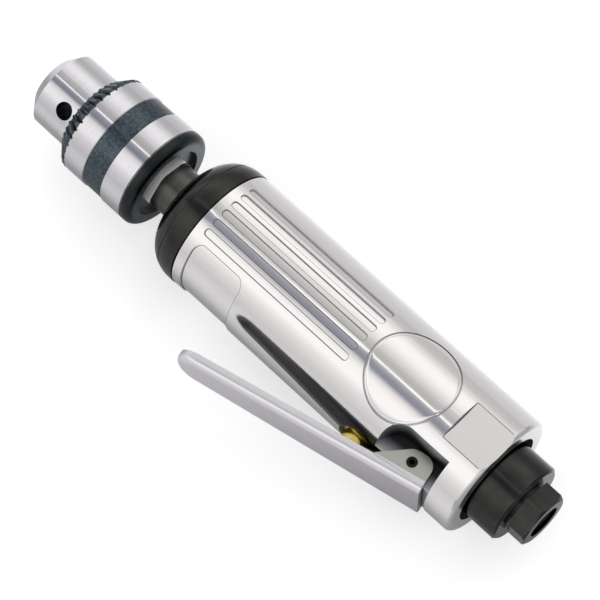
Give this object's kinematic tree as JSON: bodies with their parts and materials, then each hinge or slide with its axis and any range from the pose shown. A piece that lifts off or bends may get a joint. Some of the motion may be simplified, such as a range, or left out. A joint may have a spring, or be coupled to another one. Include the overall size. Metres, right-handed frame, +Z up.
{
  "type": "straight air drill",
  "caption": "Straight in-line air drill: keyed chuck, domed clamp nut, polished fluted barrel, throttle lever over a brass valve, hexagon air inlet.",
  "frame": {"origin": "centre of the chuck's front face, where the bit bore opens", "axes": "+X out of the chuck along the spindle, +Y towards the throttle lever, +Z up through the fluted flank"},
  "size_m": [0.2119, 0.0625, 0.0434],
  "materials": {
    "polished_aluminium": "mirror polished",
    "black_steel": "black oxide, satin",
    "chuck_steel": "ground bright, black between the bands",
    "hard_steel": "ground",
    "bearing_steel": "polished",
    "satin_steel": "satin nickel",
    "brass": "turned",
    "seal_rubber": "smooth",
    "dark_plastic": "moulded"
  },
  "bodies": {
    "housing": {"housing": "polished_aluminium", "clamp_nut": "black_steel", "spindle_seal": "seal_rubber", "front_bearing_outer": "bearing_steel", "ring_gear": "hard_steel", "gear_plate": "hard_steel", "carrier_bush": "brass", "front_end_plate": "hard_steel", "rotor_front_outer": "bearing_steel", "cylinder_liner": "hard_steel", "motor_dowel": "hard_steel", "rear_end_plate": "hard_steel", "rotor_rear_outer": "bearing_steel", "valve_bushing": "brass", "valve_seat": "dark_plastic", "valve_spring": "hard_steel", "lever_pin": "hard_steel", "exhaust_muffler": "dark_plastic", "rear_collar": "black_steel", "collar_o_ring": "seal_rubber", "inlet_bushing": "black_steel", "inlet_screen": "brass"},
    "spindle": {"spindle": "hard_steel", "planet_pins": "hard_steel", "front_bearing_inner": "bearing_steel", "chuck_body": "chuck_steel", "chuck_screw": "black_steel"},
    "planet_1": {"planet_gear_1": "hard_steel"},
    "planet_2": {"planet_gear_2": "hard_steel"},
    "planet_3": {"planet_gear_3": "hard_steel"},
    "rotor": {"rotor": "hard_steel", "rotor_blades": "dark_plastic", "rotor_front_inner": "bearing_steel", "rotor_rear_inner": "bearing_steel"},
    "front_balls": {"front_bearing_balls": "bearing_steel"},
    "rotor_front_balls": {"rotor_front_balls": "bearing_steel"},
    "rotor_rear_balls": {"rotor_rear_balls": "bearing_steel"},
    "sleeve": {"chuck_sleeve": "chuck_steel", "chuck_nut": "hard_steel"},
    "jaw_1": {"jaw_1": "hard_steel"},
    "jaw_2": {"jaw_2": "hard_steel"},
    "jaw_3": {"jaw_3": "hard_steel"},
    "lever": {"throttle_lever": "satin_steel"},
    "valve": {"valve_stem": "brass", "valve_poppet": "seal_rubber", "stem_o_ring": "seal_rubber"}
  },
  "joints": [
    {"name": "spindle_spin", "type": "hinge", "parent": "housing", "child": "spindle", "pos_m": [-0.07, 0, 0], "axis": [1, 0, 0], "continuous": true},
    {"name": "planet_1_spin", "type": "hinge", "parent": "spindle", "child": "planet_1", "pos_m": [-0.08572, 0, 0.00975], "axis": [1, 0, 0], "continuous": true},
    {"name": "planet_2_spin", "type": "hinge", "parent": "spindle", "child": "planet_2", "pos_m": [-0.08572, 0.00845, -0.00488], "axis": [1, 0, 0], "continuous": true},
    {"name": "planet_3_spin", "type": "hinge", "parent": "spindle", "child": "planet_3", "pos_m": [-0.08572, -0.00845, -0.00488], "axis": [1, 0, 0], "continuous": true},
    {"name": "rotor_spin", "type": "hinge", "parent": "housing", "child": "rotor", "pos_m": [-0.125, 0, 0], "axis": [1, 0, 0], "continuous": true},
    {"name": "front_balls_roll", "type": "hinge", "parent": "housing", "child": "front_balls", "pos_m": [-0.07, 0, 0], "axis": [1, 0, 0], "continuous": true},
    {"name": "rotor_front_balls_roll", "type": "hinge", "parent": "housing", "child": "rotor_front_balls", "pos_m": [-0.10404, 0, 0], "axis": [1, 0, 0], "continuous": true},
    {"name": "rotor_rear_balls_roll", "type": "hinge", "parent": "housing", "child": "rotor_rear_balls", "pos_m": [-0.14288, 0, 0], "axis": [1, 0, 0], "continuous": true},
    {"name": "sleeve_turn", "type": "hinge", "parent": "spindle", "child": "sleeve", "pos_m": [-0.03, 0, 0], "axis": [1, 0, 0], "range_deg": [0, 3600]},
    {"name": "jaw_1_slide", "type": "slide", "parent": "spindle", "child": "jaw_1", "axis": [0.9703, -0.2382, 0.042], "range_m": [0, 0.01902]},
    {"name": "jaw_2_slide", "type": "slide", "parent": "spindle", "child": "jaw_2", "axis": [0.9703, 0.1555, 0.1853], "range_m": [0, 0.01902]},
    {"name": "jaw_3_slide", "type": "slide", "parent": "spindle", "child": "jaw_3", "axis": [0.9703, 0.0827, -0.2273], "range_m": [0, 0.01902]},
    {"name": "lever_press", "type": "hinge", "parent": "housing", "child": "lever", "pos_m": [-0.17293, 0.0168, 0], "axis": [0, 0, -1], "range_deg": [0, 10.5], "stiffness_Nm_per_rad": 1.2, "springref_deg": -11.46},
    {"name": "valve_slide", "type": "slide", "parent": "housing", "child": "valve", "axis": [0, -1, 0], "range_m": [0, 0.00351], "deforming": ["valve_spring"]}
  ],
  "couplings": [
    {"joint": "planet_1_spin", "follows": "spindle_spin", "ratio": -2.6667},
    {"joint": "planet_2_spin", "follows": "spindle_spin", "ratio": -2.6667},
    {"joint": "planet_3_spin", "follows": "spindle_spin", "ratio": -2.6667},
    {"joint": "rotor_spin", "follows": "spindle_spin", "ratio": 5},
    {"joint": "front_balls_roll", "follows": "spindle_spin", "ratio": 0.40914},
    {"joint": "rotor_front_balls_roll", "follows": "spindle_spin", "ratio": 2.0079},
    {"joint": "rotor_rear_balls_roll", "follows": "spindle_spin", "ratio": 2.0079},
    {"joint": "jaw_1_slide", "follows": "sleeve_turn", "m_per_rad": 0.00030262},
    {"joint": "jaw_2_slide", "follows": "sleeve_turn", "m_per_rad": 0.00030262},
    {"joint": "jaw_3_slide", "follows": "sleeve_turn", "m_per_rad": 0.00030262},
    {"joint": "valve_slide", "follows": "lever_press", "m_per_rad": 0.019099}
  ]
}
